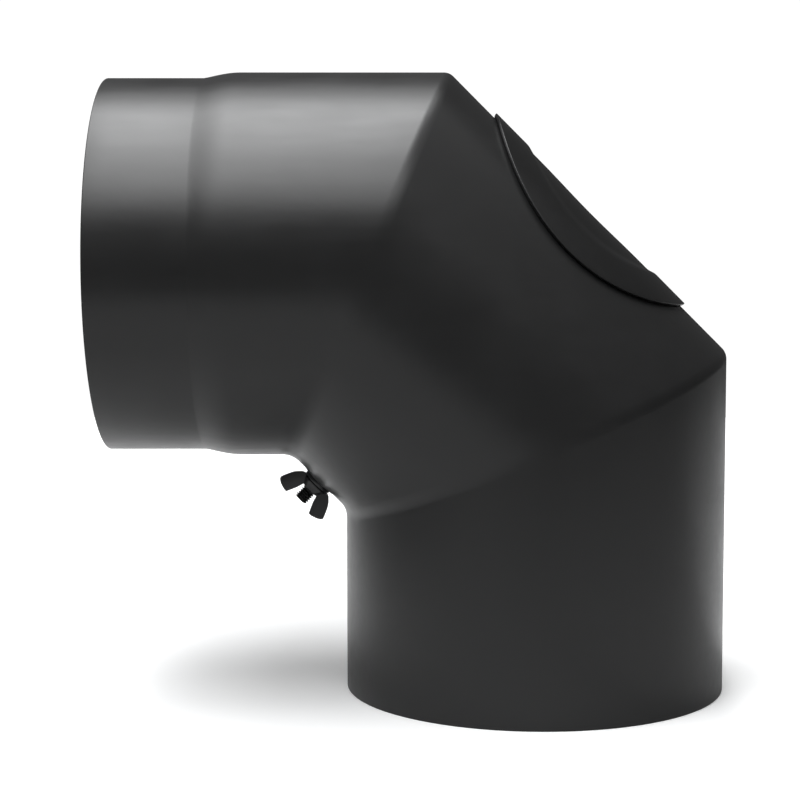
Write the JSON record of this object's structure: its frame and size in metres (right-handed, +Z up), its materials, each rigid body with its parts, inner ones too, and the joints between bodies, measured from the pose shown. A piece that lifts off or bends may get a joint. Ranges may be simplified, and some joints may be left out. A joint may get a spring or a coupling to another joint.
{
  "type": "stove pipe elbow with cleaning door",
  "caption": "Right-angle stove pipe elbow of sheet steel with mitred bends, a socket end, a reduced spigot and a round cleaning door held by a rod and a wing nut.",
  "frame": {"origin": "centre of the socket's rim, on the face that the elbow stands on", "axes": "+Z up the bottom leg, which is the socket; the side leg and its spigot point along -X; Y is the width, with the elbow's mirror plane at Y 0"},
  "size_m": [0.249, 0.154, 0.2498],
  "materials": {
    "pipe_paint": "satin black heat-resistant paint",
    "door_paint": "satin black heat-resistant paint",
    "rod_steel": "black coated steel",
    "washer_steel": "black coated steel",
    "nut_steel": "black coated steel"
  },
  "bodies": {
    "elbow": {"elbow_shell": "pipe_paint", "flat_washer": "washer_steel"},
    "door": {"door_lid": "door_paint", "tension_rod": "rod_steel"},
    "nut": {"wing_nut": "nut_steel"}
  },
  "joints": [
    {"name": "wing_nut_turn", "type": "hinge", "parent": "elbow", "child": "nut", "pos_m": [-0.0915, 0, 0.08123], "axis": [-0.7071, 0, -0.7071], "range_deg": [0, 1890]},
    {"name": "door_lift", "type": "slide", "parent": "elbow", "child": "door", "axis": [0.7071, 0, 0.7071], "range_m": [0, 0.00525]}
  ],
  "couplings": [
    {"joint": "wing_nut_turn", "follows": "door_lift", "rad_per_m": 6283.2}
  ]
}
